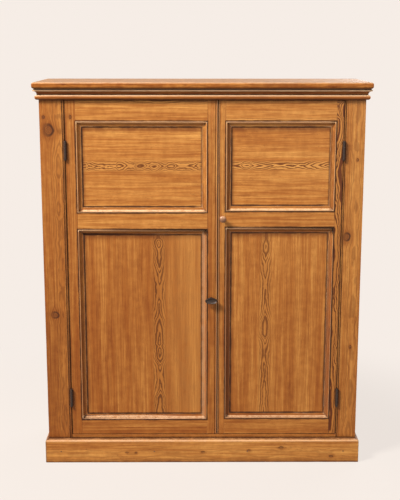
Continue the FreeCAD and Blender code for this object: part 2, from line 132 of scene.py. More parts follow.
class CupboardWood(bpy.types.PropertyGroup):
    """Colours and surface of the pine."""
    pale: colour("Pale pine", "Soft early wood under the wax", 234, 169, 89)
    honey: colour("Honey pine", "Warmer streaks in the early wood", 203, 131, 58)
    deep: colour("Deep tint", "What darker and older places are multiplied by", 190, 155, 108)
    # also painted shadow in bands
    late: colour("Late wood", "Dark lines of the year rings", 110, 56, 16)
    knot: colour("Knot", "Heart of a knot", 104, 56, 28)
    # also painted shade in hollows, seams and gaps
    grime: colour("Grime", "Old polish and dust in quirks and corners", 60, 27, 7)
    # also painted highlights on beads, arrises and faces that look up
    worn: colour("Worn arris", "Edges rubbed back to paler wood", 244, 203, 158)
    bare: colour("Bare pine", "Wood that was never waxed, inside", 205, 156, 104)
    bare_deep: colour("Bare pine, dark", "Streaks in the unwaxed wood", 158, 110, 66)
    wax: share("Roughness", "Roughness of the waxed face", 0.46)
    arris: length("Arris", "Width of the rounding on a board's edges", 0.001)
    joint_arris: length("Joint arris", "Width of the rounding where boards meet flush", 0.0005)
    wobble: length("Wobble", "How far wear moves an arris", 0.0005)


class CupboardIron(bpy.types.PropertyGroup):
    """Colours and surface of the iron fittings."""
    dark: colour("Dark iron", "Blackened iron", 40, 32, 28)
    brown: colour("Brown iron", "Old rust and lacquer on the iron", 82, 58, 44)
    rubbed: colour("Rubbed iron", "Edges rubbed bright", 104, 89, 80)
    roughness: share("Roughness", "Roughness of the iron", 0.42)
    screw_radius: length("Screw head", "Radius of a screw's head", 0.0032)
    nail_size: length("Nail head", "Length of a cut nail's head", 0.0042)


class CupboardStage(bpy.types.PropertyGroup):
    """Backdrop, lamps and camera."""
    backdrop: colour("Backdrop", "Colour of the plain surroundings", 246, 237, 230)
    daylight: share("Surrounding light", "Strength of the even light from all round", 0.12)
    key: power("Key lamp", "Power of the large lamp at the upper left", 800.0)
    fill: power("Fill lamp", "Power of the lamp beside the camera", 26.0)
    rear: power("Rear lamp", "Power of the lamp behind, at the right", 60.0)
    lens: FloatProperty(name="Lens", description="Focal length of the camera", default=72.45, min=1.0,
                        unit="CAMERA")


SETTINGS = {"cupboard_wood": CupboardWood, "cupboard_iron": CupboardIron, "cupboard_stage": CupboardStage}


def wood():
    return bpy.context.scene.cupboard_wood


def iron():
    return bpy.context.scene.cupboard_iron


# ---- node trees ----

def maths_method(operation):
    """A method that places one maths node for a term and the values given with it."""
    def method(self, *others):
        return self.wires.maths(operation, self, *others)
    return method


class Term:
    """A value in a node tree; arithmetic on it places the nodes that work it out."""
    __add__ = maths_method("ADD")
    __sub__ = maths_method("SUBTRACT")
    __mul__ = maths_method("MULTIPLY")
    __truediv__ = maths_method("DIVIDE")
    __pow__ = maths_method("POWER")
    __abs__ = maths_method("ABSOLUTE")
    scaled = maths_method("MULTIPLY_ADD")            # by a factor, and then moved by an offset
    at_least = maths_method("MAXIMUM")

    def __init__(self, wires, socket):
        self.wires, self.socket = wires, socket

    def spread(self, low, high, to_low=0.0, to_high=1.0):
        """A smooth step of the value between two limits."""
        return self.wires.term("ShaderNodeMapRange", {
            "Value": self, "From Min": low, "From Max": high, "To Min": to_low, "To Max": to_high},
            interpolation_type="SMOOTHSTEP")

    def clouds(self, scale=1.0, detail=2.0, roughness=0.5):
        """Noise over a vector."""
        return self.wires.term("ShaderNodeTexNoise", {
            "Vector": self, "Scale": scale, "Detail": detail, "Roughness": roughness})

    def wave(self, detail=1.0):
        """Noise from -1 to 1 that changes along one direction only."""
        drawn = self.wires.term("ShaderNodeTexNoise", {"W": self, "Scale": 1.0, "Detail": detail},
                                noise_dimensions="1D")
        return drawn.scaled(2.0, -1.0)

    def split(self):
        """The x, y and z of a vector."""
        outputs = self.wires.place("ShaderNodeSeparateXYZ", {0: self}).outputs
        return [Term(self.wires, socket) for socket in outputs]


class Wiring:
    """Places the nodes of one tree. A term, socket, number or colour feeds any input."""

    def __init__(self, tree):
        self.tree = tree

    def feed(self, socket, value):
        """Links a value to an input, or sets it there."""
        if isinstance(value, Term):
            value = value.socket
        if isinstance(value, bpy.types.NodeSocket):
            self.tree.links.new(value, socket)
        elif socket.type == "RGBA" and len(value) == 3:
            socket.default_value = (*value, 1.0)
        else:
            socket.default_value = value

    def place(self, kind, feeds=None, **settings):
        """A new node with its settings, and its inputs fed."""
        node = self.tree.nodes.new(kind)
        for name, value in settings.items():
            setattr(node, name, value)
        for name, value in (feeds or {}).items():
            self.feed(node.inputs[name], value)
        return node

    def term(self, kind, feeds=None, output=0, **settings):
        """One output of a new node."""
        return Term(self, self.place(kind, feeds, **settings).outputs[output])

    def terms(self, kind, feeds=None, **settings):
        """All outputs of a new node, by name."""
        outputs = self.place(kind, feeds, **settings).outputs
        return {socket.name: Term(self, socket) for socket in outputs}

    def maths(self, operation, *values):
        return self.term("ShaderNodeMath", dict(enumerate(values)), operation=operation)

    def join(self, *parts):
        return self.term("ShaderNodeCombineXYZ", dict(enumerate(parts)))

    def stretched(self, parts, factors, seed):
        """A vector from three coordinates, each with its own scale, moved by the seed."""
        return self.join(*(part.scaled(factor, seed) for part, factor in zip(parts, factors)))

    def coats(self, face, *coats):
        """A colour with others laid over it in turn, each as (amount, colour) or (amount, colour, blend type)."""
        for amount, over, *way in coats:
            face = self.term("ShaderNodeMix", {0: amount, 6: face, 7: over}, 2, data_type="RGBA",
                             blend_type=way[0] if way else "MIX")
        return face

    def use(self, build, feeds):
        """The outputs, by their names, of a group that every material shares."""
        return self.terms("ShaderNodeGroup", feeds, node_tree=once(build))

    def give(self, **values):
        """Feeds the outputs of a group, which ends it."""
        self.place("NodeGroupOutput", values)
        return self.tree


def node_group(name, inputs, outputs, kind="ShaderNodeTree"):
    """An empty node group, as its wiring and its inputs.

    Inputs are given as default numbers or as kinds of socket, outputs as kinds of socket."""
    tree = bpy.data.node_groups.new(name, kind)
    for label, default in inputs.items():
        socket = default if isinstance(default, str) else {float: "Float", int: "Int"}[type(default)]
        made = tree.interface.new_socket(label, in_out="INPUT", socket_type="NodeSocket" + socket)
        if socket is not default:
            made.default_value = default
    for label, socket in outputs.items():
        tree.interface.new_socket(label, in_out="OUTPUT", socket_type="NodeSocket" + socket)
    wires = Wiring(tree)
    return wires, wires.terms("NodeGroupInput")


def once(build):
    """The node group that a function builds, made the first time that it is asked for."""
    return bpy.data.node_groups.get(build.__name__) or build(build.__name__)


def pine_grain(name):
    """Year rings cut by a board, with its heart line, streaks, clouds and fibres.

    The vector's x runs across the board, y into it and z along it."""
    wires, given = node_group(name, {
        "Vector": "Vector", "Heart": 0.0, "Depth": 0.04, "Wander": 0.01, "Swell": 0.003, "Ring": 0.0028,
        "Band": 0.024, "Jitter": 9.0, "Point": 2.0, "Seed": 0.0},
        dict.fromkeys(("Late", "Heart", "Streak", "Fleck", "Broad", "Fibre"), "Float"))
    seed, ring, point = given["Seed"], given["Ring"], given["Point"]
    parts = across, into, along = given["Vector"].split()
    drift = along.scaled(2.6, seed).wave(2.0) * given["Wander"]
    swell = along.scaled(9.0, seed).wave(2.0) * given["Swell"]
    broken = wires.join(across.scaled(40.0, seed), into * 40.0, along * given["Jitter"])
    ripple = (broken.clouds(detail=3.0) - 0.5) * (ring * 2.6)
    beside = across - given["Heart"] + drift
    under = into + given["Depth"] + swell
    powers = abs(beside) ** point + abs(under) ** point
    radius = powers ** wires.maths("DIVIDE", 1.0, point) + ripple
    years = radius.scaled(90.0, seed).wave().scaled(0.7, radius / ring)
    year = wires.maths("FRACT", years)
    return wires.give(
        Late=year.spread(0.36, 0.66) * year.spread(0.98, 0.86),
        Heart=(abs(beside) / given["Band"]).spread(1.25, 0.55),
        Streak=wires.stretched(parts, (140.0, 140.0, 2.6), seed).clouds(detail=5.0, roughness=0.7),
        Fleck=wires.stretched(parts, (190.0, 190.0, 7.0), seed).clouds(detail=3.0, roughness=0.6),
        Broad=wires.stretched(parts, (30.0, 30.0, 1.4), seed).clouds(detail=2.0, roughness=0.6),
        Fibre=wires.stretched(parts, (1300.0, 1300.0, 22.0), seed).clouds(detail=2.0))


def knot_mark(name):
    """One knot: its dark heart, the ring round it, and how it pushes the grain aside."""
    wires, given = node_group(
        name, {"Vector": "Vector", "Across": 0.0, "Along": 0.0, "Width": 0.01, "Height": 0.012, "Seed": 0.0},
        {"Knot": "Float", "Ring": "Float", "Halo": "Float", "Push": "Vector"})
    x, _, z = given["Vector"].split()
    across = (x - given["Across"]) / given["Width"]
    along = (z - given["Along"]) / given["Height"]
    lumps = wires.join(across + given["Seed"], along, given["Seed"]).clouds(0.9, 1.0)
    far = wires.maths("SQRT", across * across + along * along) + lumps.scaled(0.5, -0.25)
    knot = far.spread(1.1, 0.8)
    ring = far.spread(1.35, 1.0) * far.spread(0.55, 0.9) * (across + lumps).spread(-0.6, 1.4, 0.25, 1.0)
    rings = wires.maths("FRACT", far * 4.0).spread(0.4, 0.9) * (knot * 0.7)
    swirl = wires.maths("EXPONENT", far * far * -0.35)
    push = wires.maths("SIGN", across) * swirl * (given["Width"] * -0.9)
    return wires.give(Knot=knot, Ring=ring.at_least(rings), Halo=far.spread(3.0, 0.9), Push=wires.join(push, 0.0, 0.0))


def age_marks(name):
    """Grime and painted shade where a surface is hemmed in, wear where an edge stands out, paling and a painted
    highlight where a face looks up.
    """
    wires, given = node_group(name, {"Vector": "Vector", "Reach": 0.007, "Edge": 0.0022},
                              dict.fromkeys(("Grime", "Wear", "Mottle", "Bleach"), "Float"))

    def openness(reach, samples, **settings):
        return wires.term("ShaderNodeAmbientOcclusion", {"Distance": reach}, "AO", samples=samples, **settings)

    mottle = given["Vector"].clouds(34.0, 3.0, 0.6)
    # painted shade: a broad darkening deep in corners, added to the grime
    corner = openness(given["Reach"] * 3.0, 6).spread(0.78, 0.3) * 0.45
    grime = openness(given["Reach"], 6).spread(0.94, 0.62).at_least(corner) * mottle.spread(0.2, 0.6, 0.6, 1.0)
    standing = openness(given["Edge"], 4, inside=True, only_local=True)
    upward = wires.term("ShaderNodeNewGeometry", output="Normal").split()[Z]
    patchy = given["Vector"].clouds(62.0, 3.0, 0.65)
    return wires.give(
        Grime=grime, Wear=standing.spread(0.78, 0.42) * mottle.spread(0.34, 0.62), Mottle=mottle,
        Bleach=upward.spread(0.28, 0.72) * patchy.spread(0.28, 0.56, 0.35, 1.0))


def seam_line(name):
    """A thin dark line of grime and painted shade along the four sides of an upright rectangle."""
    wires, given = node_group(name, {"Vector": "Vector", "X": 0.0, "Z": 0.0, "Half X": 0.1, "Half Z": 0.1,
                                     "Width": 0.0022, "Right": 1.0}, {"Line": "Float"})
    x, y, z = given["Vector"].split()
    aside, up = x - given["X"], z - given["Z"]
    away = abs((abs(aside) - given["Half X"]).at_least(abs(up) - given["Half Z"]))
    uneven = given["Vector"].clouds(22.0, 3.0, 0.6).spread(0.3, 0.7, 0.65, 1.35)
    line = (away / (given["Width"] * uneven)).spread(1.0, 0.25)
    # painted shade: the seam is weaker at a rectangle's right side, which faces the light
    at_right = (aside - given["Half X"]).spread(-0.03, -0.006, 1.0, given["Right"])
    in_front = y.spread(FACE_Y + 0.014, FACE_Y + 0.012)
    return wires.give(Line=line * at_right * in_front)


def emptied(owner):
    """The wiring of a material's or world's own tree, cleared."""
    owner.use_nodes = True
    owner.node_tree.nodes.clear()
    return Wiring(owner.node_tree)


def new_material(name):
    """A material, its wiring and the object's own coordinates."""
    material = bpy.data.materials.new(name)
    wires = emptied(material)
    return material, wires, wires.term("ShaderNodeTexCoord", output="Object")


def surface(wires, colours, roughness, relief, strength, depth, fixed):
    """Ends a material with one Principled shader over a bump; fixed holds its other values."""
    bump = wires.term("ShaderNodeBump", {"Strength": strength, "Distance": depth, "Height": relief})
    shader = wires.term("ShaderNodeBsdfPrincipled", {
        "Base Color": colours, "Roughness": roughness, "Normal": bump, **fixed})
    wires.place("ShaderNodeOutputMaterial", {"Surface": shader})


# A knot is (across, along, width, height) from the board's middle, and a band is (axis, middle, reach, amount,
# colour), many of them painted light or shade; seams and crowns are rectangles from round_light, seams drawn
# in grime and painted shade, crowns rubbed pale and painted as highlights.
PLAIN_LOOK = dict(
    tone=0.0, figure=0.75, plain=0.16, streak=1.0, broad=0.5, fleck=0.55, mottle=0.34, pitted=0.45, stain=0.35,
    heart=0.3, depth=0.045, jitter=9.0, point=2.0, wander=0.008, swell=0.003, ring=0.0028, band=0.026, curve=None,
    grime=0.9, wear=0.5, rubbed=0.4, bleach=0.0, sawn=0.0, sheen=0.3, bare=False, knots=(), seams=(), crowns=(),
    bands=())
SHADE = "MULTIPLY"
SAW_MARKS = 1250.0                                   # how close the saw's marks lie, in radians a metre


def board_material(name, along, through, origin, seed, look):
    """Pine for one board; along and through are the axes of its grain and its thickness."""
    look = SimpleNamespace(**{**PLAIN_LOOK, **look})
    settings = wood()
    pale, honey, rough, sheen = ((settings.bare, settings.bare_deep, 0.74, 0.2) if look.bare
                                 else (settings.pale, settings.honey, settings.wax, look.sheen))
    material, wires, place = new_material(name)
    centred = wires.term("ShaderNodeMapping", {"Vector": place, "Location": [-value for value in origin]}).split()
    run = centred[AXES.index(along)]
    across = next(axis for axis in AXES if axis not in along + through)
    board = wires.join(*(centred[AXES.index(axis)] for axis in (across, through, along)))
    marks = [wires.use(knot_mark, {"Vector": board, "Across": x, "Along": z, "Width": width, "Height": height,
                                   "Seed": seed + number})
             for number, (x, z, width, height) in enumerate(look.knots)]
    pushed = board
    for mark in marks:
        pushed = wires.term("ShaderNodeVectorMath", {0: pushed, 1: mark["Push"]}, operation="ADD")
    depth = heart_depth(wires, run, look.curve) if look.curve else look.depth
    shape = ("Heart", "Wander", "Swell", "Ring", "Band", "Jitter", "Point")
    grain = wires.use(pine_grain, {"Vector": pushed, "Depth": depth, "Seed": seed,
                                   **{label: getattr(look, label.lower()) for label in shape}})
    age = wires.use(age_marks, {"Vector": board})

    parts = board.split()
    broad = grain["Broad"].spread(0.34, 0.68)
    lines = grain["Late"] * grain["Heart"].scaled(look.figure - look.plain, look.plain)
    # painted shade: lower parts darker, as the light falls off towards the floor
    painted_shade_below = place.split()[Z].spread(1.15, 0.35, 0.0, 0.0 if look.bare else 0.25)
    stains = wires.stretched(parts, (24.0, 24.0, 7.0), seed + 4.0).clouds(detail=4.0, roughness=0.7)
    pits = wires.stretched(parts, (380.0, 380.0, 110.0), seed).clouds(detail=2.0, roughness=0.6)
    # streaks, flecks and clouds, then the year rings, then tone and painted shade low down, and last stains and pits
    face = wires.coats(
        pale, (broad * look.broad, honey), (grain["Streak"].spread(0.34, 0.66) * look.streak, honey),
        (grain["Fleck"].spread(0.36, 0.66) * look.fleck, settings.deep, SHADE),
        (age["Mottle"].spread(0.32, 0.68) * look.mottle, settings.deep, SHADE),
        (grain["Heart"] * (look.figure * 0.45), pale), (lines, settings.late),
        (broad.scaled(0.3 * look.broad, look.tone) + painted_shade_below, settings.deep, SHADE),
        (stains.spread(0.56, 0.72) * look.stain, settings.deep, SHADE),
        (pits.spread(0.62, 0.72) * stains.spread(0.4, 0.62) * look.pitted, settings.late))
    for mark in marks:
        face = wires.coats(face, (mark["Halo"] * 0.45, settings.deep, SHADE), (mark["Knot"] * 0.24, settings.knot),
                           (mark["Ring"] * 0.92, settings.grime))
    # real edge wear, and paling with a painted highlight on faces that look up
    rubbed = (age["Wear"] * look.wear).at_least(age["Bleach"] * look.bleach)
    face = wires.coats(face, (rubbed, settings.worn))
    # the bands hold grime and stains, and also painted highlights and shadows along edges and under overhangs
    for axis, middle, reach, amount, stain in look.bands:
        band = abs(place.split()[axis] - middle).spread(reach, 0.2 * reach)
        patchy = age["Mottle"].spread(0.25, 0.6, 0.55, 1.0) * amount
        face = wires.coats(face, (band * patchy, getattr(settings, stain)))

    def line_round(sides):
        values = zip(("X", "Z", "Half X", "Half Z", "Width", "Right"), sides)
        return wires.use(seam_line, {"Vector": place, **dict(values)})["Line"]

    # grime in hollows and along the seams, partly painted shade
    grime = age["Grime"] * look.grime
    # the crowns are painted highlights with wear, along each bead
    for sides in look.crowns:
        face = wires.coats(face, (line_round(sides) * look.rubbed, settings.worn))
    for sides in look.seams:
        grime = grime.at_least(line_round(sides) * 0.94)
    face = wires.coats(face, (grime, settings.grime))

    relief = grain["Late"].scaled(0.35, grain["Fibre"] * 0.7) + age["Mottle"] * 0.9
    if look.sawn:
        teeth = wires.maths("SINE", board.clouds(9.0).scaled(0.02, run) * SAW_MARKS)
        relief = teeth.scaled(look.sawn, relief)
    for mark in marks:
        relief = relief - mark["Ring"] * 0.8
    surface(wires, face, grime.scaled(0.25, grain["Streak"].scaled(0.22, rough - 0.11)), relief, 0.5, 0.0005,
            {"Specular IOR Level": sheen})
    return material


def heart_depth(wires, along, points):
    """How deep the heart lies under the face, drawn as a curve through (place along the board, depth) points."""
    start, end = points[0][0], points[-1][0]
    depths = [depth for _, depth in points]
    low, high = min(depths), max(depths)
    share_along = wires.term("ShaderNodeMapRange", {"Value": along, "From Min": start, "From Max": end})
    drawn = wires.place("ShaderNodeFloatCurve", {"Value": share_along})
    line = drawn.mapping.curves[0]
    scaled = [((at - start) / (end - start), (depth - low) / (high - low)) for at, depth in points]
    line.points[0].location, line.points[1].location = scaled[0], scaled[-1]
    for at, value in scaled[1:-1]:
        line.points.new(at, value)
    drawn.mapping.update()
    return Term(wires, drawn.outputs[0]).scaled(high - low, low)


IRONS = {"black_iron": (0.45, 0.35, 0.3), "browned_iron": (0.75, 0.4, 1.9), "screw_iron": (0.5, 0.75, 2.6),
         "nail_iron": (0.9, 0.3, 4.4)}               # how brown and how metallic each is, and its seed


def iron_material(name):
    """Blackened iron with brown patches and rubbed edges, made the first time that it is asked for."""
    if name in bpy.data.materials:
        return bpy.data.materials[name]
    brown, metallic, seed = IRONS[name]
    settings = iron()
    material, wires, place = new_material(name)
    moved = wires.term("ShaderNodeMapping", {"Vector": place, "Location": (seed, 0.0, 0.0)})
    age = wires.use(age_marks, {"Vector": moved, "Reach": 0.003, "Edge": 0.0012})
    patches, pits = moved.clouds(240.0, 4.0, 0.65), moved.clouds(1100.0, 3.0, 0.6)
    face = wires.coats(
        settings.dark, (patches.spread(0.42, 0.62) * brown, settings.brown),
        (age["Wear"].at_least(patches.spread(0.5, 0.3) * 0.25), settings.rubbed), (age["Grime"] * 0.6, wood().grime))
    surface(wires, face, pits.scaled(0.35, settings.roughness - 0.12), patches.scaled(0.8, pits), 0.45, 0.0003,
            {"Metallic": metallic})
    return material


# ---- meshes ----

def linked(name, data):
    """A new object in the scene."""
    made = bpy.data.objects.new(name, data)
    bpy.context.scene.collection.objects.link(made)
    return made


def mesh_of(work, name):
    """A mesh from a finished bmesh."""
    mesh = bpy.data.meshes.new(name)
    work.to_mesh(mesh)
    work.free()
    return mesh


def made_real(holder):
    """What an object's modifiers make, as a plain mesh; the object and its own mesh go."""
    evaluated = holder.evaluated_get(bpy.context.evaluated_depsgraph_get())
    made = bpy.data.meshes.new_from_object(evaluated)
    mesh = holder.data
    bpy.data.objects.remove(holder)
    bpy.data.meshes.remove(mesh)
    return made


def piece_from(mesh, name, body, slot, materials, *replaced):
    """An object for a finished mesh, riding on its body in place of CAD nodes."""
    piece = linked(name, mesh)
    mesh.materials.clear()
    for material in materials:
        mesh.materials.append(material)
    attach(piece, body)
    if replaced:
        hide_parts(*replaced)
    return piece


def stand_in(mesh, node, kind, *materials):
    """The piece that stands for one CAD node, on that node's body."""
    body = body_of(frame["nodes"][node])[0]
    slot = next(row["material_slot"] for row in frame["record"]["subparts"] if row["node"] == node)
    return piece_from(mesh, f"{node}_{kind}", body, slot, materials, node)


def rounded(mesh, arris):
    """The mesh with its marked arrises rounded, as a new mesh with smooth shading on the rounding only."""
    holder = linked("in_hand", mesh)
    round_off = holder.modifiers.new("round_off", "BEVEL")
    round_off.width = arris
    round_off.segments = 2
    round_off.limit_method = "WEIGHT"
    round_off.harden_normals = True
    round_off.use_clamp_overlap = True
    return made_real(holder)


def worked_mesh(node, arris, wobble=0.0, cut_every=0.03, smooth_under=32.0):
    """A CAD node's shape with its triangles joined, its outer arrises worn uneven and rounded."""
    work = bmesh.new()
    work.from_mesh(frame["nodes"][node].data)
    bmesh.ops.remove_doubles(work, verts=work.verts, dist=2e-6)
    bmesh.ops.dissolve_limit(work, angle_limit=math.radians(0.6), verts=work.verts, edges=work.edges)
    if wobble:
        low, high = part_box(node)
        size = high - low
        axis = max(range(3), key=lambda index: size[index])
        normal = Vector([float(index == axis) for index in range(3)])
        for number in range(1, int(size[axis] / cut_every)):
            everything = work.verts[:] + work.edges[:] + work.faces[:]
            bmesh.ops.bisect_plane(work, geom=everything, plane_co=low + normal * cut_every * number,
                                   plane_no=normal)
        wear_arrises(work, wobble)
    weights = work.edges.layers.float.new("bevel_weight_edge")
    limit = math.radians(smooth_under)
    for edge in work.edges:
        sharp = len(edge.link_faces) == 2 and edge.calc_face_angle(0.0) > limit
        edge.smooth = not sharp
        edge[weights] = 1.0 if sharp and edge.is_convex else 0.0
    for face in work.faces:
        face.smooth = True
    return rounded(mesh_of(work, node + "_shape"), arris)


def wear_arrises(work, wobble):
    """Moves the outer arrises inwards by an uneven amount, never outwards."""
    moves = {}
    for vertex in work.verts:
        faces = {face for edge in vertex.link_edges if len(edge.link_faces) == 2 and edge.is_convex
                 and edge.calc_face_angle(0.0) > 1.0 for face in edge.link_faces}
        if faces:
            inward = -sum((face.normal for face in faces), Vector()).normalized()
            uneven = 0.5 + 0.5 * noise.noise(vertex.co * 23.0) + 0.35 * noise.noise(vertex.co * 71.0)
            moves[vertex] = inward * wobble * max(0.0, uneven)
    for vertex, move in moves.items():
        vertex.co += move


def lofted(levels, centre, segments, squareness=2.0):
    """A closed shape from ovals stacked towards the front.

    A level is (half length, half width, distance in front of the centre); the first and last are points."""
    work = bmesh.new()
    loops = []
    for half_length, half_width, out in levels:
        if half_length == 0.0:
            loops.append([work.verts.new(centre + Vector((0.0, -out, 0.0)))])
            continue
        loop = []
        for number in range(segments):
            angle = 2 * math.pi * number / segments
            x, z = math.cos(angle), math.sin(angle)
            x = math.copysign(abs(x) ** (2 / squareness), x) * half_length
            z = math.copysign(abs(z) ** (2 / squareness), z) * half_width
            loop.append(work.verts.new(centre + Vector((x, -out, z))))
        loops.append(loop)
    for near, far in zip(loops, loops[1:]):
        for number in range(segments):
            after = (number + 1) % segments
            corners = [near[number % len(near)], near[after % len(near)], far[after % len(far)],
                       far[number % len(far)]]
            work.faces.new(list(dict.fromkeys(corners)))
    for face in work.faces:
        face.smooth = True
    bmesh.ops.recalc_face_normals(work, faces=work.faces)
    mesh = mesh_of(work, "lofted")
    mesh.set_sharp_from_angle(angle=math.radians(38.0))
    return mesh


# ---- stage ----

class CupboardOperator:
    """What the operators share: each can be undone."""
    bl_options = {"REGISTER", "UNDO"}


LAMPS = {                                            # place, target, size and colour
    "key": ((-4.0, -2.9, 5.6), (0.0, -0.15, 0.65), 1.7, (1.0, 0.965, 0.92)),
    "fill": ((1.2, -3.6, 1.9), (0.0, -0.1, 0.6), 2.2, (1.0, 0.97, 0.94)),
    "rear": ((1.9, 2.8, 2.4), (0.0, 0.1, 0.7), 2.2, (1.0, 0.97, 0.94)),
}
CAMERA_PLACE = (-0.0305, -3.5278, 1.4654)
CAMERA_TURNED = (1.3666263, -0.0008186, -0.0063855)   # tilted down, and a very little to the right


class CUPBOARD_OT_stage(CupboardOperator, bpy.types.Operator):
    """Lay the floor and set the lamps, the surroundings and the camera"""
    bl_idname = "cupboard.stage"
    bl_label = "Stage"

    def execute(self, context):
        scene = context.scene
        settings = scene.cupboard_stage
        scene.view_settings.view_transform = "Standard"
        scene.world = surroundings(settings)
        work = bmesh.new()
        bmesh.ops.create_circle(work, cap_ends=True, radius=14.0, segments=96)
        floor = linked("floor", mesh_of(work, "floor"))
        floor.data.materials.append(floor_material(settings))
        for name, (place, target, size, light_colour) in LAMPS.items():
            data = bpy.data.lights.new(name + "_lamp", "AREA")
            data.energy, data.size, data.color = getattr(settings, name), size, light_colour
            lit = linked(data.name, data)
            lit.location = place
            lit.rotation_euler = (Vector(target) - Vector(place)).to_track_quat("-Z", "Y").to_euler()
        data = bpy.data.cameras.new("front_camera")
        data.lens, data.sensor_width = settings.lens, 36.0
        scene.camera = linked("front_camera", data)
        scene.camera.location, scene.camera.rotation_euler = CAMERA_PLACE, CAMERA_TURNED
        return {"FINISHED"}


def seen_apart(wires, output, lit, seen):
    """Ends a tree that shows one face to the camera, straight or in a reflection, and another to the light."""
    path = wires.terms("ShaderNodeLightPath")
    either = path["Is Camera Ray"].at_least(path["Is Glossy Ray"].at_least(path["Is Transmission Ray"]))
    wires.place(output, {"Surface": wires.term("ShaderNodeMixShader", {0: either, 1: lit, 2: seen})})


def surroundings(settings):
    """Even light from all round; what the camera sees of it is the plain backdrop."""
    world = bpy.data.worlds.new("surroundings")
    wires = emptied(world)
    light = wires.term("ShaderNodeBackground", {"Color": (1.0, 0.975, 0.945), "Strength": settings.daylight})
    seen = wires.term("ShaderNodeBackground", {"Color": settings.backdrop, "Strength": 1.0})
    seen_apart(wires, "ShaderNodeOutputWorld", light, seen)
    return world


def floor_material(settings):
    """A pale floor that takes a soft shadow near the cupboard and fades into the backdrop."""
    material, wires, place = new_material("pale_floor")
    far = wires.term("ShaderNodeVectorMath", {0: place}, "Value", operation="LENGTH")
    matt = wires.term("ShaderNodeBsdfDiffuse", {"Color": (0.25, 0.235, 0.22)})
    shaded = wires.term("ShaderNodeBsdfDiffuse", {"Color": (0.1, 0.0925, 0.086)})
    glow = wires.term("ShaderNodeEmission", {"Color": settings.backdrop, "Strength": 0.85})
    plain = wires.term("ShaderNodeEmission", {"Color": settings.backdrop, "Strength": 1.0})
    near = wires.term("ShaderNodeAddShader", {0: shaded, 1: glow})
    seen = wires.term("ShaderNodeMixShader", {0: far.spread(0.75, 1.5), 1: near, 2: plain})
    seen_apart(wires, "ShaderNodeOutputMaterial", matt, seen)
    return material


# ---- boards ----

def number_of(node):
    return sorted(frame["nodes"]).index(node)


def make_board(node, along, through, arris=None, wobble=None, seed=None, **look):
    """One board: worn copy of its CAD solid in pine whose grain runs along the given axis."""
    settings = wood()
    low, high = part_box(node)
    origin = (low + high) / 2
    origin[AXES.index(through)] = (low if through == "y" else high)[AXES.index(through)]
    number = number_of(node) if seed is None else seed
    mesh = worked_mesh(node, settings.arris if arris is None else arris,
                       settings.wobble if wobble is None else wobble)
    material = board_material(f"{node}_grain", along, through, origin, number * 7.31 + 1.7, look)
    return stand_in(mesh, node, "wood", material)


class CUPBOARD_OT_case(CupboardOperator, bpy.types.Operator):
    """Make the face frame, the two sides and the bottom board"""
    bl_idname = "cupboard.case"
    bl_label = "Case"

    def execute(self, context):
        left_edge, right_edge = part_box("face_stile_left")[1].x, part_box("face_stile_right")[0].x
        # bands: painted shade beside each door's gap, and a darker zone low on the left stile and high on the right one
        make_board(
            "face_stile_left", "z", "y", tone=0.4, heart=0.02, plain=0.22, figure=0.4, pitted=0.8,
            bands=((X, left_edge - 0.003, 0.008, 0.5, "grime"), (Z, 0.25, 0.5, 0.2, "late")),
            knots=((-0.0129, 0.519, 0.018, 0.019), (-0.008, -0.12, 0.013, 0.012), (-0.028, 0.562, 0.0045, 0.005)))
        make_board(
            "face_stile_right", "z", "y", tone=0.08, heart=0.01, plain=0.2, figure=0.35,
            bands=((X, right_edge + 0.002, 0.0055, 0.3, "grime"), (Z, 1.2, 0.45, 0.1, "late")),
            knots=((-0.0176, 0.155, 0.012, 0.014), (0.0115, 0.419, 0.004, 0.005), (0.0065, -0.237, 0.004, 0.006)))
        make_board("face_rail_top", "x", "y")
        make_board("face_rail_bottom", "x", "y", tone=0.2, grime=1.0, pitted=0.7)
        for node, seed in (("side_left", 41), ("side_right", 57)):
            make_board(node, "z", "x", seed=seed, heart=0.03, band=0.06, plain=0.25, figure=0.6, tone=0.2,
                       knots=((0.05, 0.3, 0.011, 0.014), (-0.09, -0.25, 0.009, 0.011)))
        make_board("bottom_board", "x", "z", bare=True)
        return {"FINISHED"}


class CUPBOARD_OT_top(CupboardOperator, bpy.types.Operator):
    """Make the top board and the cornice under it"""
    bl_idname = "cupboard.top"
    bl_label = "Top and cornice"

    def execute(self, context):
        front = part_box("top_board")[0].y
        # bands: a painted highlight along the front arris, partly wear, grime on the top, and painted shadow under the
        # nose
        make_board(
            "top_board", "x", "z", heart=0.03, band=0.07, plain=0.3, tone=0.35, wear=0.9, stain=1.0, mottle=0.6,
            bleach=0.35, pitted=0.9, sheen=0.18,
            bands=((Y, front + 0.0072, 0.006, 0.8, "worn"), (Z, TOP_Z, 0.0016, 0.42, "grime"),
                   (Z, TOP_Z - 0.021, 0.008, 0.65, "late")),
            knots=((0.06, -0.31, 0.012, 0.02), (-0.08, 0.22, 0.009, 0.014)))
        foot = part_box("cornice_front")[0].z
        # bands: painted highlights on the bead and the fillet, painted shadow at the foot and under the top's nose
        bands = ((Z, foot + 0.0152, 0.0036, 0.9, "worn"), (Z, foot + 0.0015, 0.0045, 0.7, "grime"),
                 (Z, foot + 0.0317, 0.0044, 1.0, "worn"), (Z, TOP_Z - 0.0205, 0.004, 0.95, "grime"))
        for side, along, through in (("front", "x", "y"), ("left", "y", "x"), ("right", "y", "x")):
            make_board(f"cornice_{side}", along, through, arris=0.0007, tone=0.75, wear=0.7, grime=1.0, bleach=0.9,
                       bands=bands)
        return {"FINISHED"}


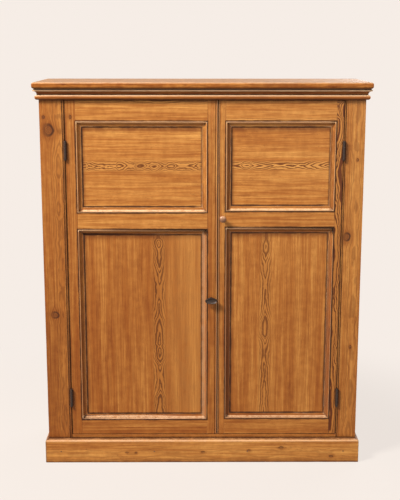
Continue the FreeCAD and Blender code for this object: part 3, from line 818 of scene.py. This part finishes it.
class CUPBOARD_OT_plinth(CupboardOperator, bpy.types.Operator):
    """Make the plinth round the foot"""
    bl_idname = "cupboard.plinth"
    bl_label = "Plinth"

    def execute(self, context):
        left_end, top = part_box("plinth_left")[0].x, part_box("plinth_front")[1].z
        # bands: a painted highlight on the rounded top edge, partly wear, painted shade and grime where the ledge meets
        # the case and at its back, and a darker foot
        lit_and_soiled = ((Z, top - 0.0038, 0.0042, 0.4, "worn"), (Z, top, 0.0016, 0.4, "grime"),
                  (Z, 0.0, 0.02, 0.3, "grime"))
        plinth_wear_and_light = dict(arris=0.0012, wear=0.9, bleach=0.35)
        make_board(
            "plinth_front", "x", "y", **plinth_wear_and_light, tone=-0.22, plain=0.12, figure=0.22, heart=-0.01, pitted=0.7,
            streak=0.75,
            bands=((Y, FACE_Y, 0.022, 0.9, "late"), *lit_and_soiled, (X, left_end, 0.006, 0.5, "grime")),
            knots=((-0.0047, -0.2668, 0.003, 0.005), (-0.0055, -0.2349, 0.003, 0.004),
                   (-0.003, 0.0027, 0.0035, 0.006), (0.003, 0.1659, 0.003, 0.005),
                   (0.013, 0.2794, 0.004, 0.008), (-0.02, 0.4577, 0.004, 0.007)))
        for side, end in (("left", 0), ("right", 1)):
            dust_and_shade = (X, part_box(f"side_{side}")[end].x, 0.02, 0.9, "late")
            make_board(f"plinth_{side}", "y", "x", **plinth_wear_and_light, tone=-0.1, bands=(dust_and_shade, *lit_and_soiled))
        return {"FINISHED"}


class CUPBOARD_OT_inside(CupboardOperator, bpy.types.Operator):
    """Make the shelves, their cleats, the glue blocks and the batten that stops the doors"""
    bl_idname = "cupboard.inside"
    bl_label = "Inside"

    def execute(self, context):
        for number in (1, 2, 3):
            make_board(f"shelf_{number}", "x", "z", bare=True, heart=0.02 * number - 0.05, band=0.08, plain=0.3,
                       figure=0.55)
        make_board("shelf_cleats", "y", "x", bare=True, tone=0.15)
        make_board("glue_blocks", "x", "z", wobble=0.0, bare=True, tone=0.2)
        make_board("door_stop", "x", "y", bare=True, tone=0.15)
        return {"FINISHED"}


class CUPBOARD_OT_back(CupboardOperator, bpy.types.Operator):
    """Make the tongued and grooved boards of the back"""
    bl_idname = "cupboard.back"
    bl_label = "Back"

    def execute(self, context):
        for number in range(1, 7):
            heart = 0.05 * math.sin(number * 2.4)
            make_board(
                f"back_board_{number}", "z", "y", arris=0.0014, bare=True, band=0.05, plain=0.32, figure=0.62,
                sawn=0.5, grime=1.0, tone=0.28 + 0.08 * math.sin(number * 4.1), heart=heart,
                knots=((heart + 0.03, 0.5 * math.sin(number * 1.9), 0.008, 0.011),))
        return {"FINISHED"}


# ---- doors ----

MOULDING_WIDTH = 0.0195
# the inner seam of a right-hand moulding, which faces the light, is weaker: painted shade
SEAM_ON_LIT_RIGHT = {"lower": 0.85, "upper": 0.5}          # strength of the seam inside a right-hand moulding


def round_light(door, light, inset=0.0, width=0.0048, right=1.0):
    """The seam round one panel's mouldings, or inside them: the six values that seam_line takes."""
    low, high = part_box(f"{door}_{light}_moulding")
    middle, half = (low + high) / 2, (high - low) / 2
    return (middle.x, middle.z, half.x - inset, half.z - inset, width, right)


def edge_band(node, end, reach):
    """Painted shade and grime along the left edge of an upright piece (end 0) or along its right edge (end 1)."""
    return (X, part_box(node)[end].x, reach, 0.5, "grime")


# painted shade beside the gap between the doors
DOOR_GAP_SHADE = (X, (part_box("left_meeting_stile")[1].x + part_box("right_meeting_stile")[0].x) / 2, 0.0045, 0.45, "grime")
DOOR_LOOKS = {
    "left_top_rail": dict(tone=0.03, heart=0.05), "left_mid_rail": dict(tone=-0.12, heart=0.06),
    "left_bottom_rail": dict(tone=0.28, heart=0.05), "right_top_rail": dict(tone=-0.07, heart=-0.05),
    "right_mid_rail": dict(tone=-0.14, heart=0.06), "right_bottom_rail": dict(tone=0.32, heart=0.05),
    "left_hinge_stile": dict(tone=0.42, pitted=0.7, knots=((0.0005, 0.5326, 0.004, 0.006),),
                             bands=(edge_band("left_hinge_stile", 0, 0.0045),)),
    # the pale bands on the meeting stiles are painted highlights on their beads
    "left_meeting_stile": dict(tone=0.36, grime=0.6, bands=((X, 0.0494, 0.0026, 0.4, "worn"), DOOR_GAP_SHADE)),
    "right_meeting_stile": dict(tone=0.2, plain=0.3, grime=0.6, bands=((X, 0.0556, 0.002, 0.3, "worn"), DOOR_GAP_SHADE)),
    "right_hinge_stile": dict(
        bands=(edge_band("right_hinge_stile", 1, 0.005),), tone=0.32, heart=-0.012, band=0.08, figure=1.0, plain=1.0,
        wander=0.007, jitter=16.0, swell=0.004, ring=0.0058, point=1.6, fleck=0.7,
        curve=((-0.588, 0.016), (-0.45, 0.012), (-0.33, 0.02), (-0.2, 0.016), (-0.05, 0.022), (0.08, 0.014),
               (0.2, 0.024), (0.33, 0.028), (0.44, 0.02), (0.5, 0.006), (0.53, 0.018), (0.56, 0.028),
               (0.588, 0.012))),
}
LEVEL_PANEL = dict(figure=0.95, plain=0.08, ring=0.0056, wander=0.001, point=1.3, heart=0.0035)
UPRIGHT_PANEL = dict(streak=0.75, fleck=0.45, broad=0.8, plain=0.08, ring=0.0062, swell=0.001, jitter=18.0, point=1.3)
PANEL_LOOKS = {
    "left_upper_panel": dict(
        LEVEL_PANEL, tone=0.02, band=0.017, swell=0.0012, jitter=30.0,
        curve=((-0.19, 0.006), (-0.09, 0.022), (-0.08, 0.017), (-0.03, 0.028), (-0.02, 0.016), (0.0, 0.01),
               (0.02, 0.014), (0.035, 0.01), (0.08, 0.022), (0.09, 0.018), (0.13, 0.028), (0.19, 0.012))),
    "right_upper_panel": dict(
        LEVEL_PANEL, tone=-0.09, band=0.016, swell=0.001, jitter=20.0,
        curve=((-0.16, 0.016), (-0.135, 0.014), (-0.117, 0.006), (-0.095, 0.015), (-0.073, 0.02), (-0.03, 0.026),
               (0.03, 0.028), (0.07, 0.026), (0.1, 0.022), (0.16, 0.007))),
    "left_lower_panel": dict(
        UPRIGHT_PANEL, tone=0.3, heart=0.055, band=0.022, figure=0.88, wander=0.004,
        bands=((X, 0.01, 0.2, 0.24, "pale"),),
        curve=((-0.345, 0.006), (-0.27, 0.015), (-0.185, 0.028), (-0.13, 0.018), (-0.09, 0.008), (-0.075, 0.013),
               (-0.065, 0.008), (-0.02, 0.011), (0.085, 0.027), (0.125, 0.03), (0.165, 0.026), (0.245, 0.014),
               (0.27, 0.013), (0.2935, 0.006), (0.31, 0.016), (0.345, 0.018))),
    "right_lower_panel": dict(
        UPRIGHT_PANEL, tone=0.12, heart=-0.045, band=0.02, figure=0.78, wander=0.003,
        curve=((-0.345, 0.016), (-0.25, 0.021), (-0.16, 0.023), (-0.1, 0.026), (-0.07, 0.024), (-0.045, 0.013),
               (-0.0235, 0.005), (0.02, 0.012), (0.06, 0.02), (0.12, 0.024), (0.2, 0.019), (0.25, 0.012),
               (0.2725, 0.005), (0.31, 0.013), (0.345, 0.012))),
}


class CUPBOARD_OT_doors(CupboardOperator, bpy.types.Operator):
    """Make the stiles, rails and panels of both doors"""
    bl_idname = "cupboard.doors"
    bl_label = "Doors"

    def execute(self, context):
        joint = wood().joint_arris
        for node, look in DOOR_LOOKS.items():
            seams = [round_light(node.split("_")[0], light) for light in SEAM_ON_LIT_RIGHT]
            make_board(node, "x" if "rail" in node else "z", "y", arris=joint, wobble=0.0003, wear=0.12, seams=seams,
                       **look)
        for node, look in PANEL_LOOKS.items():
            door, light, _ = node.split("_")
            x, z, half_x, half_z, *_ = seam = round_light(door, light, MOULDING_WIDTH, right=SEAM_ON_LIT_RIGHT[light])
            # painted shadow cast by the top and the left mouldings onto each panel
            bands = ((Z, z + half_z, 0.024, 0.72, "late"), (X, x - half_x, 0.014, 0.6, "late"), *look.get("bands", ()))
            make_board(node, "x" if light == "upper" else "z", "y", arris=joint, wobble=0.0,
                       **{**look, "seams": [seam], "bands": bands})
        return {"FINISHED"}


# faces that look up and the bead crowns get a painted highlight, partly wear
LIGHT_LOOKS = {"lower": dict(tone=0.35, bleach=0.6, rubbed=0.2), "upper": dict(tone=0.02, bleach=0.85, rubbed=0.3)}
# painted highlight along each moulding's top edge, and painted shade along its foot
EDGE_LIGHT_AND_SHADE = {"lower": (0.9, 0.55, "late"), "upper": (0.5, 0.4, "grime")}     # of the top edge; of the foot, and what
# in the right-hand cove, painted light round the lower panels and painted shade round the upper ones
COVE_LIGHT_AND_SHADE = {("left", "lower"): (0.28, "worn"), ("left", "upper"): (0.22, "late"),
               ("right", "lower"): (0.06, "worn"), ("right", "upper"): (0.45, "late")}


class CUPBOARD_OT_mouldings(CupboardOperator, bpy.types.Operator):
    """Make the mitred mouldings round the four panels"""
    bl_idname = "cupboard.mouldings"
    bl_label = "Panel mouldings"

    def execute(self, context):
        for (door, light), cove in COVE_LIGHT_AND_SHADE.items():
            node = f"{door}_{light}_moulding"
            low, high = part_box(node)
            top_edge, *foot_edge = EDGE_LIGHT_AND_SHADE[light]
            # painted shade in the left-hand cove and along the foot, a painted highlight along the top edge, and
            # painted light and shade in the right-hand cove
            look = dict(LIGHT_LOOKS[light], plain=0.3, figure=0.3, crowns=[round_light(door, light, 0.0024, 0.0026)],
                        seams=[round_light(door, light, 0.0, 0.002),
                               round_light(door, light, MOULDING_WIDTH, 0.0034, SEAM_ON_LIT_RIGHT[light])],
                        bands=((X, low.x + 0.0135, 0.007, 0.25, "late"), (Z, high.z - 0.005, 0.0034, top_edge, "worn"),
                               (Z, low.z + 0.0025, 0.0045, *foot_edge), (X, high.x - 0.0125, 0.009, *cove)))
            upright = dict(look, plain=0.9, ring=0.0042, jitter=16.0) if door == "right" else look
            materials = [board_material(f"{node}_{name}", along, "y", (low + high) / 2,
                                        number_of(node) * 3.7 + number, own)
                         for number, (name, along, own) in enumerate((("upright", "z", upright), ("level", "x", look)))]
            piece = stand_in(worked_mesh(node, 0.00035, 0.0003, cut_every=0.02), node, "wood", *materials)
            level_lengths(piece.data, low, high)
        return {"FINISHED"}


def level_lengths(mesh, low, high):
    """Gives the faces of the top and bottom lengths the second material."""
    for face in mesh.polygons:
        near_side = min(face.center.x - low.x, high.x - face.center.x)
        near_end = min(face.center.z - low.z, high.z - face.center.z)
        face.material_index = 1 if near_end < near_side else 0


# ---- fittings ----

def on_face(node):
    """Where a fitting sits on the face, half its length and width, and how far it reaches forwards from there."""
    low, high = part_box(node)
    centre, half = (low + high) / 2, (high - low) / 2
    return Vector((centre.x, FACE_Y, centre.z)), half.x, half.z, FACE_Y - low.y, FACE_Y - high.y


def knob_material(name, middle):
    """A turned knob, handled until its polish went thin and dusky, its lower half darkened as painted shade; middle is
    the height of its centre.
    """
    settings = wood()
    material, wires, place = new_material(name)
    age = wires.use(age_marks, {"Vector": place, "Reach": 0.004, "Edge": 0.0015})
    parts = place.split()
    streak = wires.stretched(parts, (300.0, 40.0, 110.0), 3.0).clouds(detail=2.0, roughness=0.5)
    lathe = wires.join(parts[Y] * 1800.0, 0.0, 0.0).clouds(1.0, 1.0)
    face = wires.coats(
        tint(208, 162, 126), (streak.spread(0.3, 0.7), tint(176, 124, 92)),
        # painted shade: the lower half darker, as lit from above
        (parts[Z].spread(middle + 0.008, middle - 0.001, 0.0, 0.72), tint(104, 62, 38)),
        (age["Wear"] * 0.6, settings.worn), (age["Grime"] * 0.9, settings.grime))
    surface(wires, face, streak.scaled(0.2, 0.34), lathe.scaled(0.7, streak), 0.3, 0.0003, {})
    return material


class CUPBOARD_OT_knob(CupboardOperator, bpy.types.Operator):
    """Turn the wooden knob of the right door"""
    bl_idname = "cupboard.knob"
    bl_label = "Knob"

    def execute(self, context):
        centre, radius, _, front, back = on_face("door_knob")
        outline = [(0.0, back), (0.0044, back), (0.0044, 0.0), (0.007, 0.0), (0.0073, 0.0008), (0.0069, 0.0016),
                   (0.0062, 0.0026), (0.0058, 0.0044), (0.0057, 0.0066), (0.0061, 0.0086), (0.0074, 0.0108)]
        dome = front - 0.0062
        outline += [(0.0092, dome - 0.0046), (0.0106, dome - 0.0024), (radius - 0.0002, dome - 0.0004),
                    (radius, dome + 0.0006)]
        for step in range(1, 9):
            angle = math.pi / 2 * step / 9
            outline.append((radius * math.cos(angle), dome + 0.0006 + 0.0056 * math.sin(angle)))
        outline.append((0.0, front))
        mesh = lofted([(around, around, out) for around, out in outline], centre, 56)
        stand_in(mesh, "door_knob", "turned", knob_material("dusky_knob", centre.z))
        return {"FINISHED"}


def iron_pieces(nodes, material, arris, smooth_under=32.0):
    """Pieces of iron worked from their CAD nodes."""
    for node in nodes:
        stand_in(worked_mesh(node, arris, smooth_under=smooth_under), node, "iron", iron_material(material))


class CUPBOARD_OT_turn(CupboardOperator, bpy.types.Operator):
    """Make the oval iron turn with its rose, spindle and tongue"""
    bl_idname = "cupboard.turn"
    bl_label = "Turn"

    def execute(self, context):
        centre, long, wide, front, foot = on_face("turn_handle")
        neck = 0.0058
        levels = [(0.0, 0.0, foot), (neck, neck, foot), (neck * 0.94, neck * 0.94, foot + 0.003),
                  (neck * 1.05, neck * 1.05, front - 0.0088)]
        for part, out in ((0.66, 0.0082), (0.88, 0.0077), (0.97, 0.0065), (1.0, 0.005), (1.0, 0.0034),
                          (0.985, 0.0016), (0.95, 0.0005), (0.9, 0.0), (0.85, 0.0002)):
            inset = (1 - part) * wide
            levels.append((long - inset, wide - inset, front - out))
        for part, sink in ((0.76, 0.001), (0.66, 0.002), (0.5, 0.0028), (0.28, 0.0032)):
            inset = (1 - part) * wide
            levels.append((long - inset * 1.1, wide - inset, front - sink))
        levels.append((0.0, 0.0, front - 0.0034))
        stand_in(lofted(levels, centre, 72, 2.15), "turn_handle", "iron", iron_material("black_iron"))
        iron_pieces(("turn_rose", "turn_spindle", "turn_tongue"), "black_iron", 0.0005)
        return {"FINISHED"}


class CUPBOARD_OT_hinges(CupboardOperator, bpy.types.Operator):
    """Make the leaves and pins of the four butt hinges"""
    bl_idname = "cupboard.hinges"
    bl_label = "Hinges"

    def execute(self, context):
        iron_pieces(("left_frame_leaves", "left_door_leaves", "right_frame_leaves", "right_door_leaves", "hinge_pins"),
                    "browned_iron", 0.0003, smooth_under=40.0)
        return {"FINISHED"}


class CUPBOARD_OT_bolt(CupboardOperator, bpy.types.Operator):
    """Make the bolt inside the right door and its keeper"""
    bl_idname = "cupboard.bolt"
    bl_label = "Bolt"

    def execute(self, context):
        iron_pieces(("bolt_case", "bolt_rod", "bolt_keeper"), "black_iron", 0.0004)
        return {"FINISHED"}


# ---- screws and nails ----

def slotted_screws(name):
    """Screw heads with a slot, one on each point, facing along its own direction."""
    wires, given = node_group(name, {
        "Points": "Geometry", "Radius": 0.0032, "Height": 0.001, "Slot": 0.0008, "Seed": 3, "Material": "Material"},
        {"Heads": "Geometry"}, "GeometryNodeTree")
    radius, height = given["Radius"], given["Height"]
    head = wires.term("GeometryNodeMeshCone", {
        "Vertices": 20, "Radius Top": radius * 0.9, "Radius Bottom": radius, "Depth": height})
    slot = wires.term("GeometryNodeMeshCube", {"Size": wires.join(radius * 3.0, given["Slot"], height)})
    raised = wires.term("GeometryNodeTransform", {"Geometry": slot, "Translation": wires.join(0.0, 0.0, height)})
    cut = wires.term("GeometryNodeMeshBoolean", {"Mesh 1": head, "Mesh 2": raised}, operation="DIFFERENCE")
    return placed_heads(wires, given, cut)


def cut_nails(name):
    """Small oblong nail heads, one on each point, facing along its own direction."""
    wires, given = node_group(name, {
        "Points": "Geometry", "Length": 0.0042, "Height": 0.0006, "Seed": 5, "Material": "Material"},
        {"Heads": "Geometry"}, "GeometryNodeTree")
    size = wires.join(given["Length"], given["Length"] * 0.6, given["Height"])
    return placed_heads(wires, given, wires.term("GeometryNodeMeshCube", {"Size": size}))


def placed_heads(wires, given, head):
    """Ends a tree: puts the head on every point, turned at random, and makes it real."""
    facing = wires.term("GeometryNodeInputNamedAttribute", {"Name": "facing"}, data_type="FLOAT_VECTOR")
    aligned = wires.term("FunctionNodeAlignRotationToVector", {"Vector": facing}, axis="Z")
    random = wires.place("FunctionNodeRandomValue", {"Max": math.pi, "Seed": given["Seed"]}, data_type="FLOAT")
    angle = next(socket for socket in random.outputs if socket.enabled)
    spun = wires.term("FunctionNodeAxisAngleToRotation", {"Axis": (0.0, 0.0, 1.0), "Angle": angle})
    turned = wires.term("FunctionNodeRotateRotation", {"Rotation": aligned, "Rotate By": spun}, rotation_space="LOCAL")
    copies = wires.term("GeometryNodeInstanceOnPoints", {
        "Points": given["Points"], "Instance": head, "Rotation": turned})
    real = wires.term("GeometryNodeRealizeInstances", {"Geometry": copies})
    return wires.give(Heads=wires.term("GeometryNodeSetMaterial", {"Geometry": real, "Material": given["Material"]}))


def scatter(name, build, inputs, points, body, slot, material):
    """Runs a tree of heads over (place, facing) points and keeps the result as one plain mesh."""
    tree = once(build)
    seat = bpy.data.meshes.new(name + "_points")
    seat.from_pydata([place for place, _ in points], [], [])
    facing = seat.attributes.new("facing", "FLOAT_VECTOR", "POINT")
    for number, (_, direction) in enumerate(points):
        facing.data[number].vector = direction
    holder = linked(name + "_points", seat)
    modifier = holder.modifiers.new("heads", "NODES")
    modifier.node_group = tree
    sockets = {item.name: item.identifier for item in tree.interface.items_tree if item.in_out == "INPUT"}
    for label, value in {**inputs, "Material": material}.items():
        modifier[sockets[label]] = value
    return piece_from(made_real(holder), name, body, slot, [material])


LEAF_FACES = {"left_door_leaves": -1.0, "left_frame_leaves": 1.0, "right_door_leaves": 1.0,
              "right_frame_leaves": -1.0}            # the way each pair's open faces look, along x
HALF_HINGE, SCREW_SPACING = 0.032, 0.0225


def leaf_screws(node):
    """Three screws, the middle one set back, on the open face of each leaf in a pair."""
    side = LEAF_FACES[node]
    face_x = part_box(node)[0 if side < 0 else 1].x
    low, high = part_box("left_door_leaves")
    return [((face_x, FACE_Y + back, middle + step * SCREW_SPACING), (side, 0.0, 0.0))
            for middle in (low.z + HALF_HINGE, high.z - HALF_HINGE)
            for step, back in ((-1, 0.0072), (0, 0.0105), (1, 0.0072))]


class CUPBOARD_OT_screws(CupboardOperator, bpy.types.Operator):
    """Drive the screws of the hinges, the bolt and its keeper"""
    bl_idname = "cupboard.screws"
    bl_label = "Screws"

    def execute(self, context):
        sets = {"left_door": leaf_screws("left_door_leaves"), "right_door": leaf_screws("right_door_leaves"),
                "carcass": leaf_screws("left_frame_leaves") + leaf_screws("right_frame_leaves")}
        low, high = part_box("bolt_case")
        middle = (low.x + high.x) / 2
        sets["right_door"] += [((middle + aside, DOOR_BACK_Y + 0.002, low.z + up), (0.0, 1.0, 0.0))
                               for up in (0.028, 0.052) for aside in (-0.0075, 0.0075)]
        low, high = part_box("bolt_keeper")
        sets["carcass"] += [((x, (low.y + high.y) / 2, low.z), (0.0, 0.0, -1.0))
                            for x in (low.x + 0.0045, high.x - 0.0045)]
        for body, points in sets.items():
            scatter(f"{body}_screws", slotted_screws, {"Radius": iron().screw_radius}, points, body, "hinge_iron",
                    iron_material("screw_iron"))
        return {"FINISHED"}


NAIL_DEPTH = 0.00025                                 # how deep the middle of a nail's head sits
BOTTOM_NAILS_Z, TOP_NAILS_Z, PLINTH_NAILS_Z = 0.095, 1.29, 0.042
HALF_SHELF = 0.009


class CUPBOARD_OT_nails(CupboardOperator, bpy.types.Operator):
    """Drive the cut nails of the back, the top and the plinth"""
    bl_idname = "cupboard.nails"
    bl_label = "Nails"

    def execute(self, context):
        upwards, backwards, forwards = (0.0, 0.0, 1.0), (0.0, 1.0, 0.0), (0.0, -1.0, 0.0)
        shelves = [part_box(f"shelf_{number}")[0].z + HALF_SHELF for number in (1, 2, 3)]
        points = []
        for number in range(1, 7):
            low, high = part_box(f"back_board_{number}")
            points += [((x, BACK_Y - NAIL_DEPTH, z), backwards) for z in (BOTTOM_NAILS_Z, *shelves, TOP_NAILS_Z)
                       for x in (low.x + 0.022, high.x - 0.028)]
        points += [((x, -0.14, TOP_Z - NAIL_DEPTH), upwards) for x in (-0.49, -0.27, -0.02, 0.24, 0.49)]
        points += [((side * 0.535, y, TOP_Z - NAIL_DEPTH), upwards) for y in (-0.07, 0.04, 0.15) for side in (-1, 1)]
        plinth_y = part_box("plinth_front")[0].y
        points += [((x, plinth_y, PLINTH_NAILS_Z), forwards) for x in (-0.5, -0.17, 0.16, 0.5)]
        scatter("carcass_nails", cut_nails, {"Length": iron().nail_size}, points, "carcass", "wrought_iron",
                iron_material("nail_iron"))
        return {"FINISHED"}


# ---- panel, registration and the run ----

OPERATORS = (CUPBOARD_OT_stage, CUPBOARD_OT_case, CUPBOARD_OT_top, CUPBOARD_OT_plinth, CUPBOARD_OT_inside,
             CUPBOARD_OT_back, CUPBOARD_OT_doors, CUPBOARD_OT_mouldings, CUPBOARD_OT_hinges, CUPBOARD_OT_knob,
             CUPBOARD_OT_turn, CUPBOARD_OT_bolt, CUPBOARD_OT_screws, CUPBOARD_OT_nails)


class CUPBOARD_PT_panel(bpy.types.Panel):
    """The settings and the steps in their order"""
    bl_idname = "CUPBOARD_PT_panel"
    bl_label = "Jelly cupboard"
    bl_space_type = "VIEW_3D"
    bl_region_type = "UI"
    bl_category = "Cupboard"

    def draw(self, context):
        for name, group in SETTINGS.items():
            box = self.layout.box()
            for label in group.__annotations__:
                box.prop(getattr(context.scene, name), label)
        for operator in OPERATORS:
            self.layout.operator(operator.bl_idname)


def register():
    for name, group in SETTINGS.items():
        bpy.utils.register_class(group)
        setattr(bpy.types.Scene, name, PointerProperty(type=group))
    for item in (*OPERATORS, CUPBOARD_PT_panel):
        bpy.utils.register_class(item)


def unregister():
    for item in reversed((*OPERATORS, CUPBOARD_PT_panel)):
        bpy.utils.unregister_class(item)
    for name, group in reversed(SETTINGS.items()):
        delattr(bpy.types.Scene, name)
        bpy.utils.unregister_class(group)


def main():
    register()
    for operator in OPERATORS:
        group, name = operator.bl_idname.split(".")
        getattr(getattr(bpy.ops, group), name)()


if __name__ == "__main__":
    main()
